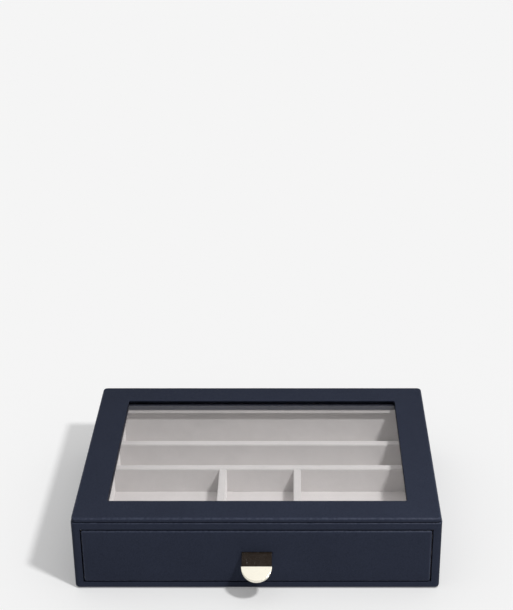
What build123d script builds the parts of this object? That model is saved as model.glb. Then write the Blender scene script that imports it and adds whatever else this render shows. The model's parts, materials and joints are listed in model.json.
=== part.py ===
"""Glass-topped display box with one lined drawer, for cufflinks and small jewellery.

A leathercloth-covered casing of five boards stands on a felt sheet. A framed lid is glued on top
of it. Its glass pane is let into the lid's underside and lies on four dark glazing bars, with four
velvet-covered bars below them. A drawer slides out of the front on the casing's lining. It carries
a fabric-wrapped insert with two long rows at the back and three compartments in front, and a short
leather pull tab with a half-round metal cap.

Frame: millimetres, +Z up, X across the front, the front faces -Y. The origin is the centre of the
casing's footprint, at the level of the table.
"""
from build123d import *
import os

# --- Overall size -----------------------------------------------------------------------------
box_width = 250.0           # outside, left to right
box_depth = 180.0           # outside, front to back, without the pull tab
box_height = 57.5           # table to the top of the lid

# --- Coverings --------------------------------------------------------------------------------
leather = 0.8               # leathercloth on the casing, the lid and the drawer front
lining = 1.3                # velvet lining inside the casing, on its card
felt = 0.6                  # felt sheet under the base
felt_inset = 3.0            # how far the felt stays back from the casing's edge

# --- Casing -----------------------------------------------------------------------------------
wall_board = 3.8            # side boards, back board and front rail
base_board = 2.6
front_rail_height = 5.9     # strip seen between the drawer and the lid
casing_corner = 3.2         # radius of the upright corners
casing_foot_edge = 1.4      # radius along the bottom
seam_edge = 0.7             # radius of the two edges that meet at the lid's seam
opening_edge = 0.4          # radius round the drawer's opening

# --- Lid, glass and retainer ------------------------------------------------------------------
lid_board = 2.4
lid_side_inset = 0.6        # how far the lid's sides stand in from the casing's
lid_top_edge = 1.4          # radius along the lid's upper rim
lid_rim_side = 21.9         # width of the lid's frame at each side of the window
lid_rim_front = 21.6        # in front of the window
lid_rim_back = 20.5         # behind the window
window_edge = 0.7           # radius along the window's upper edge
glass_thickness = 2.0
glass_rebate = 0.7          # how far the glass is let into the underside of the lid's boards
glass_overlap = 8.0         # how far the glass reaches under the lid's frame
glazing_bar = 4.1           # thickness of the dark bars under the glass
bar_setback = 0.7           # how far the dark bars stay back from the window
glass_retainer = 3.5        # thickness of the velvet-covered bars under those
retainer_setback = 1.4      # how far the velvet-covered bars stay back from the window
fitting_gap = 0.2           # clearance round the glass, the bars under it and the insert

# --- Drawer -----------------------------------------------------------------------------------
drawer_gap = 0.8            # seen round the drawer front
drawer_lift = 0.3           # clearance between the drawer and the lining that it slides on
drawer_back_gap = 0.3       # clearance behind the closed drawer
drawer_headroom = 0.7       # clearance between the drawer's walls and the retainer
drawer_front_board = 4.2
drawer_front_edge = 1.2     # radius round the drawer front's face
drawer_board = 4.0          # sides, back and inner front
drawer_bottom = 3.0
subfloor = 4.3              # board that raises the insert's floor

# --- Insert -----------------------------------------------------------------------------------
insert_floor = 3.5
insert_side_wall = 6.3
insert_end_wall = 2.2       # front and back walls
long_divider = 6.3          # thickness of the two dividers that run from side to side
cross_divider = 5.3         # thickness of the two that run from there to the front
divider_height = 19.6       # above the insert's floor
rear_row_width = 31.6       # the long row at the back
middle_row_width = 28.1     # the long row in front of it
middle_width = 49.4         # the middle one of the three front compartments
wrapped_edge = 1.3          # radius of the fabric-wrapped top edges

# --- Pull tab ---------------------------------------------------------------------------------
strip_width = 20.5
strip_thickness = 1.8       # folded leather
strip_height = 29.4         # above the table, where the strip leaves the drawer front
strip_exposed = 9.2         # from its bending line to the cap
strip_slot_gap = 0.15       # clearance round the strip in its slot
strip_bend_gap = 0.3        # clearance between the bending end and the drawer front
tongue_length = 6.0         # leather inside the cap
leaf_drop = 12.0            # leather glued down behind the drawer front
leaf_thickness = 1.6
tab_droop = 30.0            # degrees below the horizontal, at rest
cap_skin = 0.5              # metal over and under the strip
cap_overhang = 0.35         # how far the cap stands out past the strip at each side
cap_wall = 1.1              # metal beside and beyond the tongue
cap_straight = 0.4          # straight flank before the half round
cap_edge = 0.4              # radius of the cap's edges

# --- Levels, from the table up ------------------------------------------------------------------
base_bottom = felt + leather
base_top = base_bottom + base_board
cavity_floor = base_top + lining
drawer_base = cavity_floor + drawer_lift
drawer_floor = drawer_base + drawer_bottom
floor_bottom = drawer_floor + subfloor
floor_top = floor_bottom + insert_floor
divider_top = floor_top + divider_height

lid_board_top = box_height - leather
lid_bottom = lid_board_top - lid_board
board_top = lid_bottom - leather
opening_top = lid_bottom - front_rail_height
glass_top = lid_bottom + glass_rebate
glass_bottom = glass_top - glass_thickness
glazing_bar_bottom = glass_bottom - glazing_bar
retainer_bottom = glazing_bar_bottom - glass_retainer
wall_top = retainer_bottom - drawer_headroom
drawer_front_bottom = cavity_floor + drawer_gap
drawer_front_top = opening_top - drawer_gap

# --- Planes, from the outside in ----------------------------------------------------------------
half_width = box_width / 2
half_depth = box_depth / 2
board_x = half_width - leather - wall_board          # inner faces of the casing's boards
board_y = half_depth - leather - wall_board
cavity_x = board_x - lining                          # inner faces of the lining
cavity_y = board_y - lining

lid_half_width = half_width - lid_side_inset
window_x = lid_half_width - lid_rim_side
window_front = -half_depth + lid_rim_front
window_back = half_depth - lid_rim_back

front_face = -half_depth
front_back = front_face + leather + drawer_front_board
drawer_x = cavity_x - drawer_gap
drawer_rear = cavity_y - drawer_back_gap
drawer_inner_x = drawer_x - drawer_board

insert_x = drawer_inner_x - fitting_gap              # outer faces of the insert
insert_front = front_back + drawer_board + fitting_gap
insert_rear = drawer_rear - drawer_board - fitting_gap
room_x = insert_x - insert_side_wall                 # inner faces of the insert's walls
room_front = insert_front + insert_end_wall
room_rear = insert_rear - insert_end_wall
rear_divider_y = room_rear - rear_row_width - long_divider
middle_divider_y = rear_divider_y - middle_row_width - long_divider

strip_half = strip_width / 2
cap_radius = strip_half + cap_overhang
bend_line_y = front_face - strip_bend_gap - strip_thickness / 2


# --- Shapes -------------------------------------------------------------------------------------
def block(x0, x1, y0, y1, z0, z1):
    """A plain box between two opposite corners."""
    centre = ((x0 + x1) / 2, (y0 + y1) / 2, (z0 + z1) / 2)
    return Pos(*centre) * Box(x1 - x0, y1 - y0, z1 - z0)


def centred_block(half_x, half_y, z0, z1):
    """A plain box centred on the Z axis."""
    return block(-half_x, half_x, -half_y, half_y, z0, z1)


def rounded_block(half_x, half_y, z0, z1, corner, top=0.0, bottom=0.0):
    """A box centred on the Z axis with round upright corners and soft top and bottom rims."""
    solid = Pos(0, 0, z0) * extrude(RectangleRounded(2 * half_x, 2 * half_y, corner), z1 - z0)
    if top > 0:
        solid = fillet(solid.faces().sort_by(Axis.Z)[-1].edges(), top)
    if bottom > 0:
        solid = fillet(solid.faces().sort_by(Axis.Z)[0].edges(), bottom)
    return solid


def window_block(margin, z0, z1):
    """A box that fills the lid's window, wider by a margin on all four sides."""
    return block(-window_x - margin, window_x + margin,
                 window_front - margin, window_back + margin, z0, z1)


def under_leather(outer):
    """The radius of a board's edge whose covering has the given outer radius, never quite sharp."""
    return max(outer - leather, 0.1)


def wrapped_wall(x0, x1, y0, y1, z0, z1):
    """An upright fabric-wrapped board, its two long top edges rounded."""
    solid = block(x0, x1, y0, y1, z0, z1)
    along = Axis.X if x1 - x0 > y1 - y0 else Axis.Y
    thickness = min(x1 - x0, y1 - y0)
    top_edges = solid.faces().sort_by(Axis.Z)[-1].edges().filter_by(along)
    return fillet(top_edges, min(wrapped_edge, 0.45 * thickness))


def left_and_right(name, right_piece):
    """A piece and its mirror image, named for their sides."""
    return {"right_" + name: right_piece, "left_" + name: mirror(right_piece, Plane.YZ)}


def frame_bars(name, frame, margin):
    """A frame round the window cut into four butted bars: front and back run the full width."""
    far = box_width + box_depth
    front_line, back_line = window_front - margin, window_back + margin
    right = frame & block(0, far, front_line, back_line, 0, box_height)
    bars = {
        "front_" + name: frame & block(-far, far, -far, front_line, 0, box_height),
        "back_" + name: frame & block(-far, far, back_line, far, 0, box_height),
    }
    bars.update(left_and_right(name, right))
    return bars


# --- Casing -------------------------------------------------------------------------------------
def casing_core():
    """The block that all casing boards are cut from, as large as the inside of the covering."""
    return rounded_block(half_width - leather, half_depth - leather, base_bottom, board_top,
                         under_leather(casing_corner), bottom=under_leather(casing_foot_edge))


def casing_boards():
    """Base, sides, back and front rail, butted together inside the covering."""
    core = casing_core()
    side = core & block(board_x, half_width, -half_depth, half_depth, base_top, board_top)
    boards = {
        "base_board": core & centred_block(half_width, half_depth, base_bottom, base_top),
        "back_board": core & block(-board_x, board_x, board_y, half_depth, base_top, board_top),
        "front_rail_board": core & block(-board_x, board_x, -half_depth, -board_y,
                                         opening_top + leather, board_top),
    }
    boards.update(left_and_right("side_board", side))
    return boards


def casing_leather():
    """One leathercloth covering: outside faces, top edges and the turn-in round the opening."""
    shell = rounded_block(half_width, half_depth, felt, lid_bottom,
                          casing_corner, seam_edge, casing_foot_edge) - casing_core()
    shell -= centred_block(board_x, board_y, board_top - leather, lid_bottom + leather)
    turn_in = block(-board_x, board_x, front_face + leather / 2, -board_y,
                    base_top, opening_top + leather)
    opening = block(-cavity_x, cavity_x, front_face - leather, -board_y + leather,
                    cavity_floor, opening_top)
    shell = (shell + turn_in) - opening
    front_edges = shell.edges().filter_by(lambda edge: abs(edge.center().Y - front_face) < 0.01)
    rim = front_edges.filter_by(lambda edge: abs(edge.center().X) < cavity_x + 0.01
                                and cavity_floor - 0.01 < edge.center().Z < opening_top + 0.01)
    return fillet(rim, min(opening_edge, 0.9 * leather))


def casing_linings():
    """Velvet sheets that face the cavity, from the turn-in to the back."""
    linings = {
        "base_lining": centred_block(board_x, board_y, base_top, cavity_floor),
        "back_lining": block(-cavity_x, cavity_x, cavity_y, board_y, cavity_floor, retainer_bottom),
    }
    side = block(cavity_x, board_x, -board_y, board_y, cavity_floor, retainer_bottom)
    linings.update(left_and_right("lining", side))
    return linings


# --- Lid ----------------------------------------------------------------------------------------
def lid_frame_parts():
    """Four lid boards round the window, rebated for the glass, and the one covering over them."""
    core = rounded_block(lid_half_width - leather, half_depth - leather, lid_bottom, lid_board_top,
                         under_leather(casing_corner), under_leather(lid_top_edge))
    rebate = window_block(glass_overlap + fitting_gap, 0, glass_top)
    boards = core - window_block(leather, 0, box_height) - rebate
    cover = rounded_block(lid_half_width, half_depth, lid_bottom, box_height,
                          casing_corner, lid_top_edge, seam_edge)
    cover -= window_block(0, 0, box_height + leather)
    window_rim = cover.faces().sort_by(Axis.Z)[-1].inner_wires()[0].edges()
    cover = fillet(window_rim, min(window_edge, 0.9 * leather)) - boards - rebate
    parts = {"lid_leather": cover}
    parts.update(frame_bars("lid_board", boards, leather))
    return parts


def glazing():
    """The glass pane, the dark bars that it lies on and the velvet-covered bars below them."""
    half_x, half_y = board_x - fitting_gap, board_y - fitting_gap
    bars = centred_block(half_x, half_y, glazing_bar_bottom, glass_bottom)
    bars -= window_block(bar_setback, 0, box_height)
    retainer = block(-half_x, half_x, front_back + drawer_gap, half_y,
                     retainer_bottom, glazing_bar_bottom)
    retainer -= window_block(retainer_setback, 0, box_height)
    parts = {"glass_pane": window_block(glass_overlap, glass_bottom, glass_top)}
    parts.update(frame_bars("glazing_bar", bars, bar_setback))
    parts.update(frame_bars("glass_retainer", retainer, retainer_setback))
    return parts


# --- Drawer -------------------------------------------------------------------------------------
def strip_slot():
    """The slot in the drawer front that the pull tab's strip passes through."""
    half_height = strip_thickness / 2 + strip_slot_gap
    half_slot = strip_half + strip_slot_gap
    return block(-half_slot, half_slot, front_face - leather, front_back + drawer_board / 2,
                 strip_height - half_height, strip_height + half_height)


def drawer_front_parts():
    """The drawer front's board and the leathercloth over its face and edges."""
    face = block(-drawer_x, drawer_x, front_face, front_back, drawer_front_bottom, drawer_front_top)
    face = fillet(face.edges().filter_by(Axis.Y), drawer_front_edge)
    face = fillet(face.faces().sort_by(Axis.Y)[0].edges(), 0.9 * drawer_front_edge)
    board = block(-drawer_x + leather, drawer_x - leather, front_face + leather, front_back,
                  drawer_front_bottom + leather, drawer_front_top - leather)
    board = fillet(board.edges().filter_by(Axis.Y), under_leather(drawer_front_edge))
    return {
        "drawer_front_board": board - strip_slot(),
        "drawer_front_leather": face - board - strip_slot(),
    }


def drawer_box():
    """Bottom, sides, back and inner front of the drawer, and the board that lifts the floor."""
    side = wrapped_wall(drawer_inner_x, drawer_x, front_back, drawer_rear, drawer_floor, wall_top)
    inner_front = wrapped_wall(-drawer_inner_x, drawer_inner_x, front_back,
                               front_back + drawer_board, drawer_floor, wall_top)
    half_slot = strip_half + strip_slot_gap
    leaf_room = block(-half_slot, half_slot, front_back, front_back + leaf_thickness + fitting_gap,
                      strip_height - leaf_drop - strip_slot_gap,
                      strip_height + strip_thickness / 2 + strip_slot_gap)
    parts = {
        "drawer_bottom_board": block(-drawer_x, drawer_x, front_back, drawer_rear,
                                     drawer_base, drawer_floor),
        "drawer_back": wrapped_wall(-drawer_inner_x, drawer_inner_x, drawer_rear - drawer_board,
                                    drawer_rear, drawer_floor, wall_top),
        "drawer_inner_front": inner_front - leaf_room,
        "subfloor_board": block(-insert_x, insert_x, insert_front, insert_rear,
                                drawer_floor, floor_bottom),
    }
    parts.update(left_and_right("drawer_side", side))
    return parts


def insert_parts():
    """The fabric-wrapped insert: floor, four walls, two long dividers and two cross dividers."""
    parts = {
        "insert_floor": block(-insert_x, insert_x, insert_front, insert_rear, floor_bottom, floor_top),
        "insert_back_wall": wrapped_wall(-room_x, room_x, room_rear, insert_rear, floor_top, wall_top),
        "insert_front_wall": wrapped_wall(-room_x, room_x, insert_front, room_front,
                                          floor_top, wall_top),
    }
    for name, near_face in (("rear", rear_divider_y), ("middle", middle_divider_y)):
        parts[name + "_long_divider"] = wrapped_wall(-room_x, room_x, near_face,
                                                     near_face + long_divider, floor_top, divider_top)
    half_middle = middle_width / 2
    parts.update(left_and_right("insert_wall", wrapped_wall(
        room_x, insert_x, insert_front, insert_rear, floor_top, wall_top)))
    parts.update(left_and_right("cross_divider", wrapped_wall(
        half_middle, half_middle + cross_divider, room_front, middle_divider_y,
        floor_top, divider_top)))
    return parts


# --- Pull tab -----------------------------------------------------------------------------------
def half_round(radius, straight, z0, z1):
    """A D-shaped plate: straight flanks from y = 0 to -straight, then a half round."""
    disc = Pos(0, -straight, (z0 + z1) / 2) * Cylinder(radius, z1 - z0)
    plate = disc & block(-radius, radius, -straight - radius, -straight, z0, z1)
    return plate + block(-radius, radius, -straight, 0, z0, z1)


def pull_tab_parts():
    """Leather anchor in the drawer front, and the strip and metal cap that swing about its mouth."""
    half_leather = strip_thickness / 2
    anchor = block(-strip_half, strip_half, front_face, front_back + leaf_thickness,
                   strip_height - half_leather, strip_height + half_leather)
    anchor += block(-strip_half, strip_half, front_back, front_back + leaf_thickness,
                    strip_height - leaf_drop, strip_height)

    tongue_half = cap_radius - cap_wall
    tongue_end = strip_exposed + min(tongue_length, cap_straight + 0.6 * cap_radius)
    strip = block(-strip_half, strip_half, -strip_exposed, 0, -half_leather, half_leather)
    strip += Rot(0, 90, 0) * Cylinder(half_leather, strip_width)
    tongue = block(-tongue_half, tongue_half, -tongue_end, -strip_exposed, -half_leather, half_leather)
    tongue &= Pos(0, -strip_exposed, 0) * half_round(tongue_half, cap_straight,
                                                     -half_leather, half_leather)

    half_cap = half_leather + cap_skin
    cap = half_round(cap_radius, cap_straight, -half_cap, half_cap)
    outline = cap.faces().sort_by(Axis.Z)[-1].edges() + cap.faces().sort_by(Axis.Z)[0].edges()
    outline = outline.filter_by(lambda edge: edge.center().Y < -0.01)
    cap = Pos(0, -strip_exposed, 0) * fillet(outline, min(cap_edge, 0.8 * cap_skin))
    place = Pos(0, bend_line_y, strip_height) * Rot(tab_droop, 0, 0)
    return {
        "pull_tab_anchor": anchor,
        "pull_tab_strip": place * (strip + tongue),
        "pull_tab_cap": place * (cap - tongue),
    }


# --- Assembly -----------------------------------------------------------------------------------
def all_parts():
    """Every separate piece, by name."""
    parts = {
        "base_felt": centred_block(half_width - felt_inset, half_depth - felt_inset, 0, felt),
        "casing_leather": casing_leather(),
    }
    for group in (casing_boards, casing_linings, lid_frame_parts, glazing, drawer_front_parts,
                  drawer_box, insert_parts, pull_tab_parts):
        parts.update(group())
    return parts


os.makedirs("parts", exist_ok=True)
for node, shape in all_parts().items():
    export_step(shape, f"parts/{node}.step")
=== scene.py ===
"""Looks of a glass-topped display box: leathercloth, velvet, glass and a capped pull tab."""
import json
import math

import bmesh
import bpy
import numpy as np
from bpy.props import FloatProperty, FloatVectorProperty, PointerProperty
from bpy.types import Operator, Panel, PropertyGroup
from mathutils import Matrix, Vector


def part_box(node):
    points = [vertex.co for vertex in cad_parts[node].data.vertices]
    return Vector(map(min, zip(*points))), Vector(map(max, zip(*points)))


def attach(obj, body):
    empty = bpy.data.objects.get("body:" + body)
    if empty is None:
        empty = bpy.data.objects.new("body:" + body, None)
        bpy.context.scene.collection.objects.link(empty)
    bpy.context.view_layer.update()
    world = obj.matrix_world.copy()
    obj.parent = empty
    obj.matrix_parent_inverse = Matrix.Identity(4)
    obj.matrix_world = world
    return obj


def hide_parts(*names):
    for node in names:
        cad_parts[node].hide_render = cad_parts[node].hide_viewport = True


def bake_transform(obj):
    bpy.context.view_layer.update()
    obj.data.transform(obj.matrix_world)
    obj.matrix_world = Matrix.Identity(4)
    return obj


bl_info = {
    "name": "Display Box Looks",
    "version": (1, 0, 0),
    "blender": (4, 5, 0),
    "location": "View3D > Sidebar > Display Box",
    "description": "Dresses the packed display box in leathercloth, velvet, glass and gilt metal",
    "category": "Object",
}

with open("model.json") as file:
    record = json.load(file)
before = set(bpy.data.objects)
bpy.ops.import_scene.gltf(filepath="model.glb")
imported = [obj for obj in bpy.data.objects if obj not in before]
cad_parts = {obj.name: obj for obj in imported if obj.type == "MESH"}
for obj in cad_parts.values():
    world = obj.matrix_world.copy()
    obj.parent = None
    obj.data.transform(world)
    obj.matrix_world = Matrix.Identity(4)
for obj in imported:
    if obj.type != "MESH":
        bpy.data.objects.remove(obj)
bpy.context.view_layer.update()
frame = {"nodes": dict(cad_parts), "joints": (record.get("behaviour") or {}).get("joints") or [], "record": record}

MM = 0.001
TOUCHING = 0.0001 * MM


# --- Places taken from the frame ---
def corners(node):
    """A CAD node's box as two numpy arrays."""
    low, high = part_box(node)
    return np.array(low), np.array(high)


def joint(name):
    """A joint of the frame, by name."""
    return next(found for found in frame["joints"] if found["name"] == name)


casing_low, casing_high = corners("casing_leather")
lid_low, lid_high = corners("lid_leather")
drawer_low, drawer_high = corners("drawer_front_leather")
leather = casing_high[0] - corners("right_side_board")[1][0]
glass_top = corners("glass_pane")[1][2]

window_x = corners("right_lid_board")[0][0] - leather
window_front = corners("front_lid_board")[1][1] + leather
window_back = corners("back_lid_board")[0][1] - leather

opening_x = corners("right_lining")[0][0]
opening_low = corners("base_lining")[1][2]
opening_high = corners("front_rail_board")[0][2] - leather
opening_depth = corners("front_rail_board")[1][1]

hinge = np.array(joint("pull_tab_hinge")["pos_m"])
strip_low, strip_high = corners("pull_tab_anchor")
cap_points = np.array([vertex.co for vertex in frame["nodes"]["pull_tab_cap"].data.vertices])
cap_middle = (cap_points.min(0) + cap_points.max(0)) / 2 - hinge
tab_droop = math.atan2(-cap_middle[2], -cap_middle[1])
cap_start = 9.2 * MM  # from the hinge to the straight edge of the cap


def linear(red, green, blue):
    """A screen colour, 0 to 255, as the linear values that shaders take."""
    screen = np.array((red, green, blue)) / 255
    curve = np.where(screen <= 0.04045, screen / 12.92, ((screen + 0.055) / 1.055) ** 2.4)
    return tuple(float(value) for value in curve)


# --- What a user would change ---
def length(name, description, default):
    """A length in metres, shown in the scene's unit."""
    return FloatProperty(name=name, description=description, default=default, min=0.0,
                         precision=5, unit="LENGTH")


def colour(name, description, default):
    """A colour picker."""
    return FloatVectorProperty(name=name, description=description, default=default, size=3,
                               min=0.0, max=1.0, subtype="COLOR")


def number(name, description, default):
    """A plain number."""
    return FloatProperty(name=name, description=description, default=default)


def place(name, description, default):
    """A place in the scene."""
    return FloatVectorProperty(name=name, description=description, default=default, size=3,
                               unit="LENGTH", subtype="TRANSLATION")


class DisplayBoxSizes(PropertyGroup):
    """Sizes of the coverings and of the tab's metal cap."""
    corner: length("Casing corner", "Radius of the casing's upright corners", 3.2 * MM)
    foot_edge: length("Foot edge", "Radius along the bottom of the casing", 1.4 * MM)
    seam_edge: length("Seam edge", "Radius of the casing's edge at the lid's seam", 0.7 * MM)
    seam_gap: length("Seam gap", "Height of the shadow gap between lid and casing", 0.55 * MM)
    lid_foot: length("Lid foot", "Radius along the lid's lower rim", 0.75 * MM)
    lid_edge: length("Lid edge", "Radius along the lid's upper rim", 1.1 * MM)
    window_corner: length("Window corner", "Radius of the window's corners", 1.4 * MM)
    window_turn: length("Window turn", "How deep the leathercloth turns into it", 0.6 * MM)
    window_edge: length("Window edge", "Radius along the window's upper edge", 0.5 * MM)
    opening_edge: length("Opening edge", "Radius round the drawer's opening", 0.35 * MM)
    drawer_edge: length("Drawer edge", "Radius round the drawer front's face", 1.0 * MM)
    drawer_play: length("Drawer play", "How much lower the drawer's covering ends", 0.2 * MM)
    drawer_crown: length("Drawer crown", "How far the drawer's covering swells", 0.22 * MM)
    skin: length("Skin", "Thickness of the leathercloth's modelled wall", 0.3 * MM)
    leather_ripple: length("Leather ripple", "How uneven the leathercloth lies", 0.05 * MM)
    velvet_edge: length("Velvet edge", "Radius of a velvet-wrapped top edge", 1.1 * MM)
    retainer_edge: length("Retainer edge", "Radius of the velvet frame's edges", 0.3 * MM)
    velvet_ripple: length("Velvet ripple", "How uneven the velvet lies", 0.09 * MM)
    strip_edge: length("Strip edge", "Radius of the pull strip's edges", 0.55 * MM)
    strip_bend: length("Strip bend", "Radius of the strip's bend at the drawer", 2.2 * MM)
    cap_edge: length("Cap edge", "Radius of the metal cap's edges", 0.45 * MM)
    cap_dome: length("Cap dome", "How far the cap's faces bulge", 0.06 * MM)
    grain: length("Leather grain", "Size of one pebble of the leathercloth", 0.75 * MM)
    pile: length("Velvet pile", "Size of one tuft of the velvet", 0.35 * MM)


class DisplayBoxColours(PropertyGroup):
    """Colours of the finishes."""
    navy: colour("Navy", "Leathercloth on the casing, lid and drawer", linear(50, 55, 70))
    navy_crease: colour("Navy crease", "Leathercloth between its pebbles", linear(36, 40, 52))
    strip: colour("Strip", "Leather of the pull tab", linear(47, 38, 31))
    gold: colour("Gold", "Metal of the pull tab's cap", (1.0, 0.955, 0.82))
    velvet: colour("Velvet", "Lining of the drawer", linear(206, 202, 201))
    board: colour("Board", "Raw fibreboard", linear(168, 140, 108))
    edging: colour("Edging", "Black edging between the window's edge and the glass",
                   linear(12, 14, 22))
    bar: colour("Glazing bar", "Painted bars under the glass", linear(58, 60, 70))
    felt: colour("Felt", "Sheet under the base", linear(46, 49, 58))
    floor: colour("Floor", "Table and backdrop", linear(245, 245, 245))


# --- Meshes ---
def rounded_path(points, radii, step, arc_steps=6):
    """A chain of straight runs joined by tangent arcs.

    Each inner corner is replaced by an arc whose tangent points lie radius x tan(turn / 2) from the
    corner. The runs between arcs are cut evenly, no longer than step, and each has a guard point
    close to both of its ends, so that smooth shading stays inside the arcs.
    """
    points = np.asarray(points, float)
    pieces = [points[:1]]
    for before, corner, after, radius in zip(points[:-2], points[1:-1], points[2:], radii):
        inward = (before - corner) / np.linalg.norm(before - corner)
        outward = (after - corner) / np.linalg.norm(after - corner)
        half_turn = (math.pi - math.acos(np.clip(inward @ outward, -1, 1))) / 2
        reach = radius * math.tan(half_turn)
        centre_way = (inward + outward) / np.linalg.norm(inward + outward)
        centre = corner + centre_way * radius / math.cos(half_turn)
        start = corner + inward * reach - centre
        finish = corner + outward * reach - centre
        turn = np.linspace(0, 1, arc_steps + 1)[:, None]
        weights = np.sin((1 - turn) * 2 * half_turn), np.sin(turn * 2 * half_turn)
        pieces.append(centre + (weights[0] * start + weights[1] * finish) / math.sin(2 * half_turn))
    pieces.append(points[-1:])
    path = [pieces[0]]
    for near, far in zip(pieces[:-1], pieces[1:]):
        path += [run_between(near[-1], far[0], step), far]
    return np.concatenate(path)


def run_between(start, finish, step):
    """The points strictly between two ends of a straight run, with a guard point near each end."""
    distance = np.linalg.norm(finish - start)
    if distance < 1e-9:
        return np.zeros((0, len(start)))
    count = max(1, math.ceil(distance / step))
    guard = min(0.25 * MM, distance / 4) / distance
    inner = np.linspace(guard, 1 - guard, count + 1)
    return start + (finish - start) * inner[:, None]


def rectangle(x0, x1, y0, y1, radius, side_steps=(60, 44), arc_steps=6):
    """Points round a rectangle with round corners, anticlockwise from the start of its front side.

    Every side is cut into the same number of steps whatever its size, so that two such rings match
    point for point.
    """
    radius = max(radius, 0.02 * MM)
    angle = np.linspace(0, math.pi / 2, arc_steps + 1)[:, None]
    ring = []
    for quarter, (corner_x, corner_y) in enumerate(((x1, y0), (x1, y1), (x0, y1), (x0, y0))):
        towards = quarter * math.pi / 2
        centre = np.array((corner_x - radius * np.sign(corner_x - (x0 + x1) / 2),
                           corner_y - radius * np.sign(corner_y - (y0 + y1) / 2)))
        start = towards - math.pi / 2
        ring.append((centre + radius * np.hstack((np.cos(start + angle), np.sin(start + angle)))))
    points = []
    for quarter in range(4):
        near, far = ring[quarter - 1][-1], ring[quarter][0]
        share = np.linspace(0, 1, side_steps[quarter % 2] + 1)[1:-1, None]
        points += [ring[quarter - 1][-1:], near + (far - near) * share, ring[quarter][:-1]]
    return np.concatenate(points)


def let_out(x0, x1, y0, y1, radius, outset):
    """Points round such a rectangle, let out on all sides."""
    return rectangle(x0 - outset, x1 + outset, y0 - outset, y1 + outset, radius + outset)


def level(ring, z):
    """A ring of (x, y) points at one height."""
    return np.column_stack((ring, np.full(len(ring), z)))


def upright(ring, y):
    """A ring of (x, z) points in a plane across Y, turned to face the front."""
    return np.column_stack((ring[:, 0], np.full(len(ring), y), ring[:, 1]))


def ripple(points, amount, wavelength):
    """A smooth unevenness: the mean of five sine waves that cross at fixed odd angles."""
    ways = np.array(((1.0, 0.31, 0.12), (-0.42, 1.0, 0.37), (0.63, -0.71, 0.95),
                     (0.23, 0.54, -1.1), (-0.91, 0.17, 0.45)))
    phases = np.array((0.4, 1.7, 2.9, 4.1, 5.3))
    waves = np.sin(points @ ways.T * 2 * math.pi / wavelength + phases)
    return amount * waves.mean(-1)


def grid_faces(rows, columns, closed):
    """Quads of a grid of rows x columns points, whose columns may join up."""
    across = columns if closed else columns - 1
    row, column = np.meshgrid(np.arange(rows - 1), np.arange(across), indexing="ij")
    right = (column + 1) % columns
    quads = np.stack((row * columns + column, row * columns + right,
                      (row + 1) * columns + right, (row + 1) * columns + column), -1)
    return quads.reshape(-1, 4)


def fan_faces(ring_start, columns, pole, flip):
    """Triangles from a ring of points to a pole."""
    here = ring_start + np.arange(columns)
    after = ring_start + (np.arange(columns) + 1) % columns
    triangles = np.column_stack((here, after, np.full(columns, pole)))
    return triangles[:, ::-1] if flip else triangles


def build(name, points, faces, material, smooth=True, wear=None):
    """A mesh object from points and a list of face arrays, with each point's share of the painted edge highlight,
    0 to 1.
    """
    mesh = bpy.data.meshes.new(name)
    mesh.from_pydata(points.tolist(), [], [face.tolist() for group in faces for face in group])
    mesh.update()
    mesh.validate()
    mesh.polygons.foreach_set("use_smooth", np.full(len(mesh.polygons), smooth))
    if smooth:
        mesh.set_sharp_from_angle(angle=math.radians(50))
    if wear is not None:
        mesh.attributes.new("wear", "FLOAT", "POINT").data.foreach_set("value", wear.ravel())
    mesh.materials.append(material)
    piece = bpy.data.objects.new(name, mesh)
    bpy.context.scene.collection.objects.link(piece)
    return piece


def loft(name, rings, material, closed=True, caps=False, wear=None):
    """A surface through a stack of rings of equally many points. Caps close both ends at a pole."""
    rings = np.asarray(rings)
    rows, columns = rings.shape[:2]
    points = rings.reshape(-1, 3)
    faces = [grid_faces(rows, columns, closed)]
    if caps:
        poles = rings[[0, -1]].mean(1)
        points = np.vstack((points, poles))
        faces.append(fan_faces(0, columns, rows * columns, True))
        faces.append(fan_faces((rows - 1) * columns, columns, rows * columns + 1, False))
    return build(name, points, faces, material, wear=wear)


def highlight_by_turn(profile):
    """How sharply a profile turns at each of its points, as a share of its sharpest turn: the mask for the
    leathercloth's painted edge highlight.
    """
    runs = np.diff(profile, axis=0)
    heading = np.unwrap(np.arctan2(runs[:, 1], runs[:, 0]))
    turn = np.abs(np.diff(heading))
    return np.pad(turn / turn.max(), 1)


def weld(piece):
    """Merges the points that lie on each other."""
    mesh = bmesh.new()
    mesh.from_mesh(piece.data)
    bmesh.ops.remove_doubles(mesh, verts=mesh.verts, dist=0.002 * MM)
    mesh.to_mesh(piece.data)
    mesh.free()
    return piece


def give_wall(piece, thickness):
    """A live Solidify that thickens an open skin inwards."""
    wall = piece.modifiers.new("wall", "SOLIDIFY")
    wall.thickness = thickness
    wall.offset = -1
    return piece


def settle(piece, body, slot, *nodes):
    """Puts a finished piece on its body, in place of the CAD nodes that it stands for."""
    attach(piece, body)
    if nodes:
        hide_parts(*nodes)
    return piece


# --- Shader maths ---
class Wire:
    """An output socket that Python's arithmetic turns into Math nodes."""

    def __init__(self, material, socket):
        self.material = material
        self.socket = socket

    def math(self, operation, *others):
        return self.material.node("ShaderNodeMath", {"operation": operation},
                                  dict(enumerate((self,) + others)))

    def __add__(self, other):
        return self.math("ADD", other)

    def __sub__(self, other):
        return self.math("SUBTRACT", other)

    def __rsub__(self, other):
        return self.material.node("ShaderNodeMath", {"operation": "SUBTRACT"}, {0: other, 1: self})

    def __mul__(self, other):
        return self.math("MULTIPLY", other)

    def __rtruediv__(self, other):
        return self.material.node("ShaderNodeMath", {"operation": "DIVIDE"}, {0: other, 1: self})

    def __pow__(self, other):
        return self.math("POWER", other)

    __radd__ = __add__
    __rmul__ = __mul__


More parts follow.
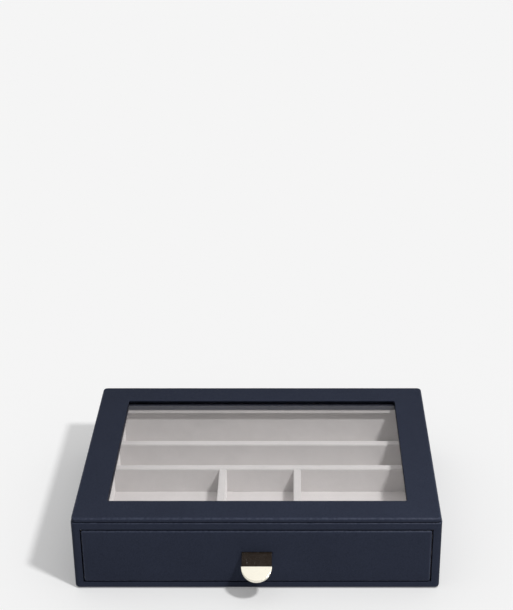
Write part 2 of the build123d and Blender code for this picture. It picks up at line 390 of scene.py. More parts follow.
class Finish:
    """A material whose nodes are added by one method."""

    def __init__(self, name, **surface):
        self.data = bpy.data.materials.new(name)
        self.data.use_nodes = True
        self.tree = self.data.node_tree
        self.tree.nodes.clear()
        self.surface = self.tree.nodes.new("ShaderNodeBsdfPrincipled")
        self.output = self.tree.nodes.new("ShaderNodeOutputMaterial")
        self.link(self.output.inputs["Surface"], Wire(self, self.surface.outputs[0]))
        self.set(**surface)
        self.place = self.node("ShaderNodeTexCoord", output="Object")

    @classmethod
    def over(cls, owner):
        """The same helpers for a tree that is already there, such as a world's."""
        helper = cls.__new__(cls)
        helper.data, helper.tree = owner, owner.node_tree
        return helper

    def grey(self, value):
        """A colour from one number."""
        return self.node("ShaderNodeCombineColor", None, dict.fromkeys((0, 1, 2), value))

    def seen(self):
        """1 for rays that show this to the camera: straight, in a mirror or through glass."""
        camera, glossy, through = (self.node("ShaderNodeLightPath", output=f"Is {kind} Ray")
                                   for kind in ("Camera", "Glossy", "Transmission"))
        return camera.math("MAXIMUM", glossy).math("MAXIMUM", through)

    def link(self, socket, value):
        """Feeds a socket from a wire, or sets its value."""
        if isinstance(value, Wire):
            self.tree.links.new(value.socket, socket)
        elif hasattr(socket.default_value, "__len__") and len(value) == 3 \
                and len(socket.default_value) == 4:
            socket.default_value = (*value, 1.0)
        else:
            socket.default_value = value

    def node(self, kind, settings=None, inputs=None, output=0):
        """Adds a node: its settings first, then its sockets' values or wires. Gives one output."""
        made = self.tree.nodes.new(kind)
        for name, value in (settings or {}).items():
            if name == "stops":
                self.set_stops(made.color_ramp, value)
            else:
                setattr(made, name, value)
        for socket, value in (inputs or {}).items():
            self.link(made.inputs[socket], value)
        return Wire(self, made.outputs[output])

    @staticmethod
    def set_stops(ramp, stops):
        """Sets a ramp's stops from pairs of place and brightness or colour."""
        while len(ramp.elements) < len(stops):
            ramp.elements.new(0.5)
        for element, (place, value) in zip(ramp.elements, stops):
            element.position = place
            shade = value if hasattr(value, "__len__") else (value,) * 3
            element.color = (*shade, 1.0)

    def noise(self, size, detail=2.0, roughness=0.5, place=None):
        """Soft noise, 0 to 1, whose features are about size metres across."""
        return self.node("ShaderNodeTexNoise", None,
                         {"Vector": place or self.place, "Scale": 1 / size, "Detail": detail,
                          "Roughness": roughness}, "Fac")

    def cells(self, size, feature="F1", place=None):
        """Distances to scattered points that lie about size metres apart."""
        return self.node("ShaderNodeTexVoronoi", {"feature": feature},
                         {"Vector": place or self.place, "Scale": 1 / size}, "Distance")

    def ramp(self, value, *stops):
        """A value through a ramp of places and brightnesses."""
        return self.node("ShaderNodeValToRGB", {"stops": stops}, {"Fac": value}, "Color")

    def mix(self, share, first, second):
        """Two colours mixed by a share."""
        factor, upper, lower, result = 0, 6, 7, 2
        return self.node("ShaderNodeMix", {"data_type": "RGBA"},
                         {factor: share, upper: first, lower: second}, result)

    def bump(self, height, distance, strength=1.0):
        """A normal that tilts with a height from 0 to 1, distance metres high."""
        return self.node("ShaderNodeBump", None,
                         {"Height": height, "Distance": distance, "Strength": strength}, "Normal")

    def set(self, **sockets):
        """Feeds the surface's own sockets."""
        for socket, value in sockets.items():
            self.link(self.surface.inputs[socket.replace("_", " ")], value)
        return self.data


# --- Finishes ---
def pebbled_leather(name, light, dark, grain, roughness, gloss, relief):
    """Leather with rounded pebbles: dark creases between cells, softly mottled.

    Along a piece's marked edges the base colour is painted lighter in dotted patches, a painted highlight, and a
    real polished coat lies over it.
    """
    finish = Finish(name, Specular_IOR_Level=gloss, Coat_Roughness=0.38)
    wander = finish.node("ShaderNodeTexNoise", None,
                         {"Vector": finish.place, "Scale": 0.4 / grain, "Detail": 1.0}, "Color")
    spread = finish.node("ShaderNodeVectorMath", {"operation": "SCALE"},
                         {0: wander, "Scale": 0.8 * grain})
    place = finish.node("ShaderNodeVectorMath", {"operation": "ADD"}, {0: finish.place, 1: spread})
    cell = finish.cells(grain, "SMOOTH_F1", place)
    edge = finish.cells(grain, "DISTANCE_TO_EDGE", place)
    crease = finish.ramp(edge, (0.0, 0.0), (0.22, 1.0))
    mottle = finish.noise(0.03, 3.0)
    fine = finish.noise(grain / 4, 2.0)
    tone = crease * 0.55 + mottle * 0.35 + fine * 0.1
    # Painted highlight: the edge mask lightens the base colour on rounded edges in dotted patches; the coat it
    # also feeds is real gloss.
    wear = finish.node("ShaderNodeAttribute", {"attribute_name": "wear"}, output="Fac")
    glint_noise = finish.noise(2.6 * grain, 1.0)
    wear_and_highlight = wear * finish.ramp(glint_noise, (0.36, 0.35), (0.62, 1.0))
    # The first is the painted highlight's colour, the second the real coat's weight.
    highlight_colour, polish = tuple(min(1.0, 1.4 * value) for value in light), 0.25
    base = finish.mix(wear_and_highlight * 0.7, finish.mix(tone, dark, light), highlight_colour)
    height = crease * 0.6 + (1 - cell) * 0.3 + fine * 0.1
    normal = finish.bump(height, relief * grain)
    return finish.set(Base_Color=base, Roughness=roughness + 0.1 * (mottle - 0.5) - 0.05 * crease,
                      Coat_Weight=wear_and_highlight * polish, Normal=normal)


def short_velvet(name, shade, pile):
    """Short-pile velvet: a fine tufted surface whose nap leans in soft patches, with a sheen.

    Its base colour is painted lighter the more it is seen from the side: a painted sheen for the sides of the pile
    catching the light, over the real sheen.
    """
    finish = Finish(name, Specular_IOR_Level=0.1, Sheen_Weight=0.8, Sheen_Roughness=0.5,
                    Sheen_Tint=(1.0, 0.98, 0.97, 1.0))
    tuft = finish.noise(pile, 2.0, 0.7)
    nap = finish.noise(0.022, 2.0, 0.55)
    brushed = finish.noise(0.006, 3.0, 0.6)
    uneven = 0.3 * (nap - 0.5) + 0.17 * (brushed - 0.5) + 0.25 * (tuft - 0.5)
    # Painted sheen: the base colour runs from a darker face-on tone to a lighter one as the surface turns away
    # from the view, plus the nap's random patches.
    painted_sheen_share = finish.node("ShaderNodeLayerWeight", None, {"Blend": 0.5}, "Facing")
    tone = 0.15 + 0.9 * painted_sheen_share + uneven
    darker = tuple(value * 0.86 for value in shade)
    sheen_painted_colour = tuple(min(1.0, value * 1.36) for value in shade)
    normal = finish.bump(tuft, 0.35 * pile, 0.6)
    return finish.set(Base_Color=finish.mix(tone, darker, sheen_painted_colour), Roughness=0.9 + 0.08 * tuft,
                      Normal=normal)


def polished_gold(name, shade):
    """Gilt metal, polished, with faint brushed haze and fine scuffs."""
    finish = Finish(name, Metallic=1.0)
    stretched = finish.node("ShaderNodeMapping", None,
                            {"Vector": finish.place, "Scale": (30.0, 900.0, 900.0)})
    haze = finish.noise(1.0, 2.0, 0.6, stretched)
    smudge = finish.noise(0.004, 3.0)
    wear_and_highlight = tuple(value * 0.93 for value in shade)
    return finish.set(Base_Color=finish.mix(smudge, shade, wear_and_highlight),
                      Roughness=0.12 + 0.08 * haze + 0.08 * smudge,
                      Normal=finish.bump(haze, 0.002 * MM, 0.5))


def clear_glass(name):
    """Thin float glass: a mirror, 4 % strong face on and nearly whole at a glance."""
    finish = Finish(name, Base_Color=(1.0, 1.0, 1.0), Metallic=1.0, Roughness=0.02)
    grazing = finish.node("ShaderNodeLayerWeight", None, {"Blend": 0.5}, "Facing")
    return finish.set(Alpha=0.04 + 0.87 * grazing ** 4.0)


def raw_board(name, shade):
    """Fibreboard: fine felted fibres with darker flecks."""
    finish = Finish(name, Roughness=0.85, Specular_IOR_Level=0.25)
    fibre = finish.noise(0.0012, 4.0, 0.7)
    fleck = finish.cells(0.0009)
    dark = tuple(value * 0.6 for value in shade)
    tone = 0.75 * fibre + 0.5 * fleck
    return finish.set(Base_Color=finish.mix(tone, dark, shade),
                      Normal=finish.bump(fibre, 0.05 * MM))


def black_paint(name, shade, gloss):
    """Flat black paint on fibreboard: brushed unevenly, with a faint dry grain."""
    finish = Finish(name, Specular_IOR_Level=gloss)
    streak = finish.noise(0.003, 3.0, 0.6)
    grain = finish.noise(0.0004, 2.0)
    dusty = tuple(value * 1.8 for value in shade)
    return finish.set(Base_Color=finish.mix(streak, shade, dusty), Roughness=0.65 + 0.15 * streak,
                      Normal=finish.bump(grain, 0.03 * MM))


def pressed_felt(name, shade):
    """Felt: matted fibres in a dark, dusty surface."""
    finish = Finish(name, Roughness=0.95, Specular_IOR_Level=0.1, Sheen_Weight=0.3,
                    Sheen_Roughness=0.6)
    fibre = finish.noise(0.0007, 4.0, 0.75)
    dark = tuple(value * 0.55 for value in shade)
    return finish.set(Base_Color=finish.mix(fibre, dark, shade),
                      Normal=finish.bump(fibre, 0.12 * MM))


FINISHES = {}


def finishes():
    """All finishes of the box by their slot's name, made once."""
    if not FINISHES:
        sizes, colours = bpy.context.scene.display_box_sizes, bpy.context.scene.display_box_colours
        shade = {name: tuple(getattr(colours, name)) for name in DisplayBoxColours.__annotations__}
        strip_crease = tuple(value * 0.4 for value in shade["strip"])
        FINISHES.update({
            "navy_leather": pebbled_leather("navy_leathercloth", shade["navy"],
                                            shade["navy_crease"], sizes.grain, 0.4, 0.01, 0.1),
            "tab_leather": pebbled_leather("tab_leather", shade["strip"], strip_crease,
                                           1.3 * sizes.grain, 0.38, 0.16, 0.3),
            "gold_cap": polished_gold("gilt_cap", shade["gold"]),
            "window_glass": clear_glass("window_glass"),
            "grey_velvet": short_velvet("grey_velvet", shade["velvet"], sizes.pile),
            "fibreboard": raw_board("fibreboard", shade["board"]),
            "base_felt": pressed_felt("base_felt", shade["felt"]),
            "dark_bar": black_paint("bar_paint", shade["bar"], 0.1),
            # The window's reveal band: near black with almost no gloss.
            "edging": black_paint("edging_paint", shade["edging"], 0.02),
        })
    return FINISHES


# --- Leathercloth ---
def cover_ring(low, high, inset, sizes):
    """A cover's outline between two of its corners, drawn in by an inset."""
    return let_out(low[0], high[0], low[1], high[1], sizes.corner, -inset)


class DISPLAYBOX_OT_casing_cover(Operator):
    """Makes the leathercloth over the casing, turned in round the drawer's opening"""
    bl_idname = "displaybox.casing_cover"
    bl_label = "Casing Cover"

    def execute(self, context):
        sizes = context.scene.display_box_sizes
        top, foot, turn_under = casing_high[2] - sizes.seam_gap, casing_low[2], 20 * MM
        profile = rounded_path(((4 * MM, top), (0, top), (0, foot), (turn_under, foot)),
                               (sizes.seam_edge, sizes.foot_edge), 3 * MM)
        rings = np.array([level(cover_ring(casing_low, casing_high, inset, sizes), z)
                          for inset, z in profile])
        rows, columns = rings.shape[:2]
        quads = grid_faces(rows, columns, True)[:, ::-1]
        wall_rows = np.flatnonzero(np.abs(profile[:, 0]) < TOUCHING)
        front = np.flatnonzero(np.abs(rings[wall_rows[0], :, 1] - casing_low[1]) < TOUCHING)
        row, column = quads[:, -1] // columns, quads[:, -1] % columns
        in_front = np.isin(column, front[:-1]) & (row >= wall_rows[0]) & (row < wall_rows[-1])
        frame_rings = self.front_frame(rings, wall_rows, front, sizes)
        more = grid_faces(*frame_rings.shape[:2], True) + rows * columns
        points = np.vstack((rings.reshape(-1, 3), frame_rings.reshape(-1, 3)))
        points = points + outward(points) * ripple(points, sizes.leather_ripple, 41 * MM)[:, None]
        # Painted edge highlight: each point's share, by how sharply the cover turns there.
        wear = np.zeros(len(points))
        wear[:rows * columns] = np.repeat(highlight_by_turn(profile), columns)
        piece = build("casing_cover", points, [quads[~in_front], more], finishes()["navy_leather"],
                      wear=wear)
        weld(piece)
        give_wall(piece, sizes.skin)
        settle(piece, "casing", "navy_leather", "casing_leather")
        return {"FINISHED"}

    def front_frame(self, rings, wall_rows, front, sizes):
        """Rings from the hole in the front wall to the drawer's opening and on into its turn-in.

        The outer ring follows the hole's edge point for point. Further rings mix it with the
        opening's rectangle. A quarter round and a straight run back follow.
        """
        bottom = rings[wall_rows[-1], front]
        top = rings[wall_rows[0], front][::-1]
        right = rings[wall_rows[::-1], front[-1]]
        left = rings[wall_rows, front[0]]
        hole = np.concatenate((bottom[:-1], right[:-1], top[:-1], left[:-1]))
        edge_x = opening_x + sizes.opening_edge
        low, high = opening_low - sizes.opening_edge, opening_high + sizes.opening_edge
        share_x = (hole[:, 0] - hole[:, 0].min()) / np.ptp(hole[:, 0])
        share_z = (hole[:, 2] - hole[:, 2].min()) / np.ptp(hole[:, 2])
        edge = np.column_stack((edge_x * (2 * share_x - 1), hole[:, 1],
                                low + (high - low) * share_z))
        centre = np.array((0, 0, (opening_low + opening_high) / 2))
        inward = np.sign(np.round(centre - edge, 9)) * np.array((1, 0, 1))
        on_side = np.abs(np.abs(edge[:, 0]) - edge_x) < TOUCHING
        on_level = np.minimum(np.abs(edge[:, 2] - low), np.abs(edge[:, 2] - high)) < TOUCHING
        inward = inward * np.column_stack((on_side, on_side, on_level))
        face = [hole + (edge - hole) * share for share in (0, 0.08, 0.35, 0.65, 0.92, 1)]
        turn = np.linspace(0, math.pi / 2, 6)[1:]
        round_edge = [edge + inward * sizes.opening_edge * math.sin(angle)
                      + np.array((0, sizes.opening_edge * (1 - math.cos(angle)), 0))
                      for angle in turn]
        depth = opening_depth - round_edge[-1][0, 1]
        back = [round_edge[-1] + np.array((0, depth * share, 0)) for share in (0.08, 0.5, 1)]
        return np.array(face + round_edge + back)


def outward(points):
    """Unit ways outwards, along the axis on which each point is furthest from the middle."""
    middle = (casing_low + casing_high) / 2
    ratio = (points - middle) / (casing_high - middle)
    return np.eye(3)[np.abs(ratio).argmax(1)] * np.sign(ratio)


class DISPLAYBOX_OT_lid_cover(Operator):
    """Makes the leathercloth over the lid's frame, turned down into the window"""
    bl_idname = "displaybox.lid_cover"
    bl_label = "Lid Cover"

    def execute(self, context):
        sizes = context.scene.display_box_sizes
        low, high = lid_low[2], lid_high[2]
        outside = rounded_path(((4 * MM, low), (0, low), (0, high), (4 * MM, high)),
                               (sizes.lid_foot, sizes.lid_edge), 3 * MM)
        inside = rounded_path(((3 * MM, high), (0, high), (0, high - sizes.window_turn)),
                              (sizes.window_edge,), 3 * MM)
        rings = [level(cover_ring(lid_low, lid_high, inset, sizes), z) for inset, z in outside]
        sill = [level(self.window_ring(outset, sizes), z) for outset, z in inside]
        across = np.linspace(0, 1, 9)[1:-1]
        rings += [rings[-1] + (sill[0] - rings[-1]) * share for share in across]
        rings = np.array(rings + sill)
        # Painted edge highlight on the upper rim only, by how sharply the cover turns there.
        wear = np.zeros(rings.shape[:2])
        upper = highlight_by_turn(outside) * (outside[:, 1] > (low + high) / 2)
        wear[:len(outside)] = upper[:, None]
        top = np.clip((rings[..., 2] - low) / (high - low), 0, 1)
        rings[..., 2] += top * ripple(rings, sizes.leather_ripple, 37 * MM)
        sides = outward(rings.reshape(-1, 3)).reshape(rings.shape) * np.array((1, 1, 0))
        rings += sides * ripple(rings, sizes.leather_ripple, 47 * MM)[..., None]
        piece = loft("lid_cover", rings, finishes()["navy_leather"], wear=wear)
        give_wall(piece, sizes.skin)
        settle(piece, "casing", "navy_leather", "lid_leather")
        self.edging(sizes, high)
        return {"FINISHED"}

    def edging(self, sizes, high):
        """A near-black band with almost no gloss from the turned-down leathercloth to the glass, with a closed
        section: it makes the window's reveal look nearly black.
        """
        under, skin = high - sizes.window_turn + 0.2 * MM, sizes.skin
        near, far = skin / 2, 3 * skin
        section = ((near, glass_top), (near, under), (far, under), (far, glass_top),
                   (near, glass_top))
        rings = [level(self.window_ring(outset, sizes), z) for outset, z in section]
        piece = weld(loft("window_edging", rings[::-1], finishes()["edging"]))
        settle(piece, "casing", "dark_bar")

    @staticmethod
    def window_ring(outset, sizes):
        """The window's outline, let out by an outset."""
        return let_out(-window_x, window_x, window_front, window_back, sizes.window_corner,
                       outset)


class DISPLAYBOX_OT_drawer_cover(Operator):
    """Makes the leathercloth over the drawer front, with the slot for the pull tab"""
    bl_idname = "displaybox.drawer_cover"
    bl_label = "Drawer Cover"

    def execute(self, context):
        sizes = context.scene.display_box_sizes
        face, back = drawer_low[1], drawer_high[1]
        slot_edge = 0.3 * MM
        slot_path = rounded_path(((0, face + 3 * MM), (0, face), (2 * MM, face)),
                                 (slot_edge,), 2 * MM)
        slot = [upright(self.slot_ring(outset), y) for outset, y in slot_path]
        rim_path = rounded_path(((5 * MM, face), (0, face), (0, back)), (sizes.drawer_edge,),
                                2 * MM)
        rim = [upright(self.face_ring(inset, sizes), y) for inset, y in rim_path]
        across = np.linspace(0, 1, 25)[1:-1]
        middle = [slot[-1] + (rim[0] - slot[-1]) * share for share in across]
        rings = np.array(slot + middle + rim)
        rings[..., 1] -= self.swell(rings, sizes)
        # Painted edge highlight round the rim, by how sharply the cover turns there.
        wear = np.zeros(rings.shape[:2])
        wear[-len(rim):] = highlight_by_turn(rim_path)[:, None]
        piece = loft("drawer_cover", rings[::-1], finishes()["navy_leather"], wear=wear[::-1])
        give_wall(piece, sizes.skin)
        settle(piece, "drawer", "navy_leather", "drawer_front_leather")
        return {"FINISHED"}

    @staticmethod
    def slot_ring(outset):
        """The slot's outline, let out by an outset."""
        gap, half_height, corner = 0.15 * MM, 1.05 * MM, 0.2 * MM
        return let_out(strip_low[0] - gap, strip_high[0] + gap, hinge[2] - half_height,
                       hinge[2] + half_height, corner, outset)

    @staticmethod
    def face_ring(inset, sizes):
        """The drawer front's outline, drawn in by an inset."""
        corner = sizes.drawer_edge + 0.3 * MM
        return let_out(drawer_low[0], drawer_high[0], drawer_low[2],
                       drawer_high[2] - sizes.drawer_play, corner, -inset)

    @staticmethod
    def swell(rings, sizes):
        """How far the face stands forward: it rises within 4 mm of its edge, then stays level."""
        to_side = np.minimum(rings[..., 0] - drawer_low[0], drawer_high[0] - rings[..., 0])
        to_level = np.minimum(rings[..., 2] - drawer_low[2], drawer_high[2] - rings[..., 2])
        distance = np.clip(np.minimum(to_side, to_level), 0, None)
        on_face = np.clip((drawer_low[1] + 2 * MM - rings[..., 1]) / (2 * MM), 0, 1)
        rise = 1 - np.exp(-(distance / (2.2 * MM)) ** 2)
        return on_face * (sizes.drawer_crown * rise + ripple(rings, sizes.leather_ripple, 33 * MM))


# --- Velvet ---
def wrapped_board(node, along):
    """A velvet-wrapped board of the drawer in place of a CAD board.

    Its section is the board's rectangle with two round top edges. The section is carried along the
    board's length, and every point moves in or out by the velvet's ripple.
    """
    sizes = bpy.context.scene.display_box_sizes
    low, high = corners(node)
    across = 1 - along
    edge = min(sizes.velvet_edge, 0.48 * (high[across] - low[across]))
    middle = (low[across] + high[across]) / 2
    section = rounded_path(((middle, low[2]), (high[across], low[2]), (high[across], high[2]),
                            (low[across], high[2]), (low[across], low[2]), (middle, low[2])),
                           (0.1 * MM, edge, edge, 0.1 * MM), 5 * MM)[:-1]
    count = max(8, int((high[along] - low[along]) / (3 * MM)))
    stations = np.linspace(low[along], high[along], count)
    rings = np.empty((count, len(section), 3))
    rings[..., along] = stations[:, None]
    rings[..., across] = section[:, 0]
    rings[..., 2] = section[:, 1]
    inside = np.array((middle, (low[2] + high[2]) / 2))
    way = section - inside
    way = way / np.linalg.norm(way, axis=1)[:, None]
    wave = ripple(rings, sizes.velvet_ripple, 29 * MM)
    height = np.clip((rings[..., 2] - low[2]) / (4 * MM), 0, 1)
    rings[..., across] += way[:, 0] * wave * height
    rings[..., 2] += way[:, 1] * wave * height
    piece = loft("velvet_" + node, rings if along == 0 else rings[:, ::-1],
                 finishes()["grey_velvet"], caps=True)
    settle(piece, "drawer", "grey_velvet", node)


class DISPLAYBOX_OT_velvet_boards(Operator):
    """Makes the velvet-wrapped walls of the drawer, then the insert's walls, dividers and floor"""
    bl_idname = "displaybox.velvet_boards"
    bl_label = "Velvet Boards"

    def execute(self, context):
        for along, nodes in ((0, ("drawer_back", "drawer_inner_front")),
                             (1, ("left_drawer_side", "right_drawer_side")),
                             (0, ("insert_back_wall", "insert_front_wall", "rear_long_divider",
                                  "middle_long_divider")),
                             (1, ("left_insert_wall", "right_insert_wall", "left_cross_divider",
                                  "right_cross_divider"))):
            for node in nodes:
                wrapped_board(node, along)
        self.floor(context.scene.display_box_sizes)
        return {"FINISHED"}

    def floor(self, sizes):
        """The insert's floor: a level sheet with the velvet's ripple, and a wall below it."""
        low, high = corners("insert_floor")
        x, y = np.meshgrid(np.linspace(low[0], high[0], 116), np.linspace(low[1], high[1], 82))
        points = np.stack((x, y, np.full_like(x, high[2])), -1)
        points[..., 2] += ripple(points, 0.6 * sizes.velvet_ripple, 23 * MM)
        piece = loft("velvet_floor", points, finishes()["grey_velvet"], closed=False)
        give_wall(piece, high[2] - low[2])
        settle(piece, "drawer", "grey_velvet", "insert_floor")


class DISPLAYBOX_OT_glass_retainer(Operator):
    """Makes the velvet-covered frame below the glass"""
    bl_idname = "displaybox.glass_retainer"
    bl_label = "Glass Retainer"

    def execute(self, context):
        sizes = context.scene.display_box_sizes
        low, high = corners("front_glass_retainer")
        outer = (low[0], high[0], low[1], corners("back_glass_retainer")[1][1])
        inner_x = corners("right_glass_retainer")[0][0]
        inner = (-inner_x, inner_x, high[1], corners("back_glass_retainer")[0][1])
        profile = rounded_path(((6 * MM, low[2]), (0, low[2]), (0, high[2]), (6 * MM, high[2])),
                               (sizes.retainer_edge, sizes.retainer_edge), 1 * MM)
        corner = 0.3 * MM
        rings = np.array([level(let_out(*inner, corner, outset), z) for outset, z in profile])
        rings[..., 2] += ripple(rings, 0.5 * sizes.velvet_ripple, 31 * MM)
        rims = [level(rectangle(*outer, corner), z) for z in (low[2], high[2])]
        rings = [rims[1], rims[0], *rings, rims[1]]
        piece = weld(loft("velvet_retainer", rings[::-1], finishes()["grey_velvet"]))
        settle(piece, "casing", "grey_velvet", "front_glass_retainer", "back_glass_retainer",
               "left_glass_retainer", "right_glass_retainer")
        return {"FINISHED"}


# --- Pull tab ---
def along_tab(points):
    """Turns points from the tab's own frame, level and with its hinge at 0, to where it droops."""
    sine, cosine = math.sin(tab_droop), math.cos(tab_droop)
    turned = np.array(points, float)
    turned[..., 1] = points[..., 1] * cosine - points[..., 2] * sine
    turned[..., 2] = points[..., 1] * sine + points[..., 2] * cosine
    return turned + hinge


class DISPLAYBOX_OT_pull_tab(Operator):
    """Makes the leather strip, from its glued leaf behind the drawer front to its metal cap"""
    bl_idname = "displaybox.pull_tab"
    bl_label = "Pull Tab"

    def execute(self, context):
        sizes = context.scene.display_box_sizes
        self.strip(sizes)
        self.cap(sizes)
        return {"FINISHED"}

    def strip(self, sizes):
        """A section with round edges carried up the leaf, out through the slot and down."""
        thickness = 1.7 * MM
        leaf_y = strip_high[1] - thickness / 2
        reach = 13 * MM
        tip = (hinge[1] - reach * math.cos(tab_droop), hinge[2] - reach * math.sin(tab_droop))
        path = rounded_path(((leaf_y, strip_low[2] + 0.2 * MM), (leaf_y, hinge[2]),
                             (hinge[1], hinge[2]), tip),
                            (thickness, sizes.strip_bend), 1.2 * MM, 8)
        heading = np.gradient(path, axis=0)
        heading = heading / np.linalg.norm(heading, axis=1)[:, None]
        across = np.column_stack((-heading[:, 1], heading[:, 0]))
        half = (strip_high[0] - strip_low[0]) / 2
        section = rectangle(-half, half, -thickness / 2, thickness / 2, sizes.strip_edge,
                            (20, 3), 4)
        past_cap = along_tab(np.array(((0, -cap_start, 0),)))[0, 1]
        inside_cap = 0.9
        width = half * np.where(path[:, 0] < past_cap, inside_cap, 1.0)
        rings = np.empty((len(path), len(section), 3))
        rings[..., 0] = section[:, 0] / half * width[:, None]
        rings[..., 1] = path[:, 0, None] + across[:, 0, None] * section[:, 1]
        rings[..., 2] = path[:, 1, None] + across[:, 1, None] * section[:, 1]
        rings[..., 0] += (strip_high[0] + strip_low[0]) / 2
        piece = loft("tab_strip", rings[::-1], finishes()["tab_leather"], caps=True)
        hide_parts("pull_tab_strip", "pull_tab_anchor")
        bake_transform(piece)

    def cap(self, sizes):
        """A half-round plate: outlines drawn in as they turn over the rounded edge, then domed."""
        half_width = (cap_points[:, 0].max() - cap_points[:, 0].min()) / 2
        half_height, edge = 1.4 * MM, sizes.cap_edge
        turn = np.linspace(0, math.pi / 2, 7)
        rim = [self.outline(half_width, edge * (1 - math.cos(angle)),
                            half_height - edge + edge * math.sin(angle)) for angle in turn]
        middle = rim[-1].mean(0)
        face = [middle + (rim[-1] - middle) * kept for kept in np.linspace(0.97, 0.04, 14)]
        upper = np.array(rim + face)
        from_centre = (upper[..., 0] / half_width) ** 2 \
            + ((upper[..., 1] - rim[0][:, 1].max()) / half_width) ** 2
        upper[..., 2] += sizes.cap_dome * np.clip(1 - from_centre, 0, 1) \
            * np.clip(upper[..., 2] / half_height, 0, 1)
        lower = upper[::-1] * np.array((1, 1, -1))
        rings = along_tab(np.concatenate((lower, upper)))
        piece = loft("tab_cap", rings[::-1], finishes()["gold_cap"], caps=True)
        settle(piece, "pull_tab", "gold_cap", "pull_tab_cap")

    @staticmethod
    def outline(radius, inset, height):
        """A D drawn in by an inset: a straight back edge, two short flanks and a half round."""
        straight = 0.4 * MM
        inner = radius - inset
        angle = np.linspace(0, -math.pi, 49)
        arc = np.column_stack((inner * np.cos(angle), inner * np.sin(angle) - cap_start - straight))
        share = np.linspace(-1, 1, 25)[:, None]
        edge = np.column_stack((inner * share, np.full(25, -cap_start - inset)))
        ring = np.vstack((arc, edge))
        return np.column_stack((ring, np.full(len(ring), height)))


# --- CAD nodes that stay ---
class DISPLAYBOX_OT_frame_finishes(Operator):
    """Gives every CAD node that stays in view the finish of its slot"""
    bl_idname = "displaybox.frame_finishes"
    bl_label = "Frame Finishes"

    def execute(self, context):
        slots = {part["node"]: part["material_slot"] for part in frame["record"]["subparts"]}
        for name, node in frame["nodes"].items():
            if not node.hide_render:
                node.data.materials.clear()
                node.data.materials.append(finishes()[slots[name]])
        return {"FINISHED"}


# --- Stage ---
class DisplayBoxStage(PropertyGroup):
    """Camera, lamp and surroundings."""
    camera_place: place("Camera place", "Where the camera stands", (0.0273, -0.8669, 0.5897))
    camera_pitch: FloatProperty(name="Camera pitch", description="How far the camera looks down",
                                default=math.radians(25.68), unit="ROTATION", subtype="ANGLE")
    focal_length: number("Focal length", "In mm on a 36 mm high film", 82.09)
    camera_shift: number("Camera shift", "Sideways shift of the frame", -0.0665)
    lamp_place: place("Lamp place", "Where the key lamp hangs", (0.303, -0.381, 0.691))
    lamp_radius: length("Lamp radius", "Half the width of the key lamp's soft globe", 0.040)
    lamp_light: number("Lamp light", "Key light on the table, white is 1", 0.5)
    sky_light: number("Sky light", "Soft light from all round, white is 1", 0.5)
    sky_rim: number("Sky rim", "Share of the sky's light that is even all round", 0.25)
    sky_seen: number("Sky seen", "Least brightness of the sky in glossy things", 0.45)
    table_glow: number("Table glow", "Share of the table's white that it gives off itself", 0.2)


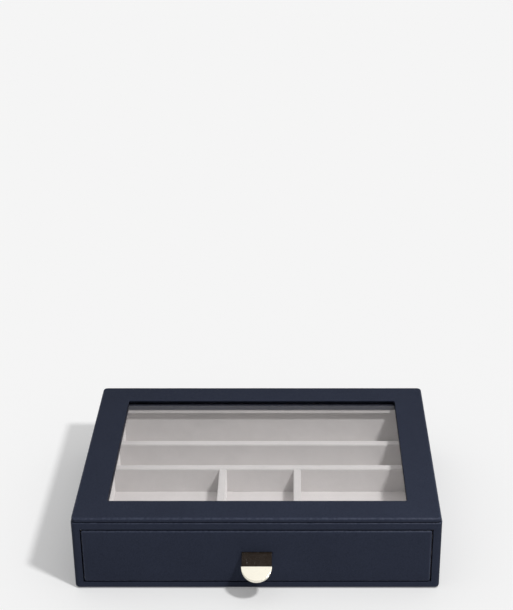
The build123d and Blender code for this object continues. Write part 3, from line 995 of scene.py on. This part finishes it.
class DISPLAYBOX_OT_stage(Operator):
    """Sets up the camera, the key lamp, the soft surroundings and the pale table"""
    bl_idname = "displaybox.stage"
    bl_label = "Stage"

    def execute(self, context):
        stage = context.scene.display_box_stage
        shade = tuple(context.scene.display_box_colours.floor)
        self.camera(context, stage)
        self.lamp(context, stage)
        self.surroundings(context, stage, shade)
        self.table(context, stage, shade)
        context.scene.view_settings.view_transform = "Standard"
        return {"FINISHED"}

    @staticmethod
    def camera(context, stage):
        lens = bpy.data.cameras.new("camera")
        lens.sensor_fit, lens.sensor_height = "VERTICAL", 36
        lens.lens = stage.focal_length
        lens.shift_x = stage.camera_shift
        lens.clip_start, lens.clip_end = 0.01, 30
        camera = bpy.data.objects.new("camera", lens)
        camera.location = stage.camera_place
        camera.rotation_euler = (math.pi / 2 - stage.camera_pitch, 0, 0)
        context.scene.collection.objects.link(camera)
        context.scene.camera = camera

    @staticmethod
    def lamp(context, stage):
        """A soft globe that gives the stage's lamp light at the origin."""
        bulb = bpy.data.lights.new("key_lamp", "POINT")
        bulb.shadow_soft_size = stage.lamp_radius
        distance = math.sqrt(sum(value * value for value in stage.lamp_place))
        upright_share = stage.lamp_place[2] / distance
        bulb.energy = stage.lamp_light / upright_share * (2 * math.pi * distance) ** 2
        lamp = bpy.data.objects.new("key_lamp", bulb)
        lamp.location = stage.lamp_place
        context.scene.collection.objects.link(lamp)

    @staticmethod
    def surroundings(context, stage, shade):
        """A sky that is brightest overhead, behind a low backdrop in the table's white.

        The camera and rays off glossy things see the backdrop and a white zenith, and light for
        the box comes from neither.
        """
        world = bpy.data.worlds.new("surroundings")
        world.use_nodes = True
        sky = Finish.over(world)
        height = sky.node("ShaderNodeSeparateXYZ", None,
                          {"Vector": sky.node("ShaderNodeTexCoord", output="Generated")}, "Z")
        above = height.math("MAXIMUM", 0.0)
        strength = stage.sky_light * (stage.sky_rim + 2 * (1 - stage.sky_rim) * above * above)
        seen = sky.seen()
        mirrored = (above ** 4.0).math("MAXIMUM", stage.sky_seen)
        shown = strength.math("MAXIMUM", mirrored * seen)
        backdrop = seen * sky.ramp(height, (0.12, 1.0), (0.3, 0.0))
        colour = sky.mix(backdrop, sky.grey(shown), shade)
        sky.link(world.node_tree.nodes["Background"].inputs["Color"], colour)
        context.scene.world = world

    @staticmethod
    def table(context, stage, shade):
        """A large level sheet, painted so that the lamp and the sky show it in one even white.

        Its paint is the wanted white over the light that falls there. Where that would take more
        than a real paint, and for the stage's share of glow, the sheet shines by what is missing.
        """
        finish = Finish("pale_table", Roughness=1.0, Specular_IOR_Level=0.0)
        lamp = np.array(stage.lamp_place)
        offset = finish.node("ShaderNodeVectorMath", {"operation": "SUBTRACT"},
                             {0: finish.place, 1: tuple(lamp)})
        distance = finish.node("ShaderNodeVectorMath", {"operation": "LENGTH"}, {0: offset},
                               "Value")
        fading = (float(np.linalg.norm(lamp)) / distance) ** 3.0
        light = stage.sky_light + stage.lamp_light * fading
        paint = (shade[0] * (1 - stage.table_glow) / light).math("MINIMUM", 0.9)
        always = shade[0] * stage.table_glow
        missing = always + (shade[0] - always - paint * light) * finish.seen()
        glow = finish.node("ShaderNodeEmission", None,
                           {"Color": (1.0, 1.0, 1.0), "Strength": missing})
        both = finish.node("ShaderNodeAddShader", None,
                           {0: Wire(finish, finish.surface.outputs[0]), 1: glow})
        finish.link(finish.output.inputs["Surface"], both)
        finish.set(Base_Color=finish.grey(paint))
        far = 6.0
        points = np.array(((-far, -far, 0), (far, -far, 0), (far, far, 0), (-far, far, 0)))
        sheet = build("table", points, [np.array(((0, 1, 2, 3),))], finish.data, smooth=False)


class DISPLAYBOX_PT_looks(Panel):
    """Lists the steps that dress the display box"""
    bl_idname = "DISPLAYBOX_PT_looks"
    bl_label = "Display Box"
    bl_space_type = "VIEW_3D"
    bl_region_type = "UI"
    bl_category = "Display Box"

    def draw(self, context):
        for operator in OPERATORS:
            self.layout.operator(operator.bl_idname)


OPERATORS = (
    DISPLAYBOX_OT_stage,
    DISPLAYBOX_OT_casing_cover,
    DISPLAYBOX_OT_lid_cover,
    DISPLAYBOX_OT_drawer_cover,
    DISPLAYBOX_OT_glass_retainer,
    DISPLAYBOX_OT_velvet_boards,
    DISPLAYBOX_OT_pull_tab,
    DISPLAYBOX_OT_frame_finishes,
)
GROUPS = {
    "display_box_sizes": DisplayBoxSizes,
    "display_box_colours": DisplayBoxColours,
    "display_box_stage": DisplayBoxStage,
}


def register():
    for group in (*GROUPS.values(), *OPERATORS, DISPLAYBOX_PT_looks):
        bpy.utils.register_class(group)
    for name, group in GROUPS.items():
        setattr(bpy.types.Scene, name, PointerProperty(type=group))


def unregister():
    for name in GROUPS:
        delattr(bpy.types.Scene, name)
    for group in reversed((*GROUPS.values(), *OPERATORS, DISPLAYBOX_PT_looks)):
        bpy.utils.unregister_class(group)


def main():
    register()
    for operator in OPERATORS:
        family, step = operator.bl_idname.split(".")
        getattr(getattr(bpy.ops, family), step)()


if __name__ == "__main__":
    main()
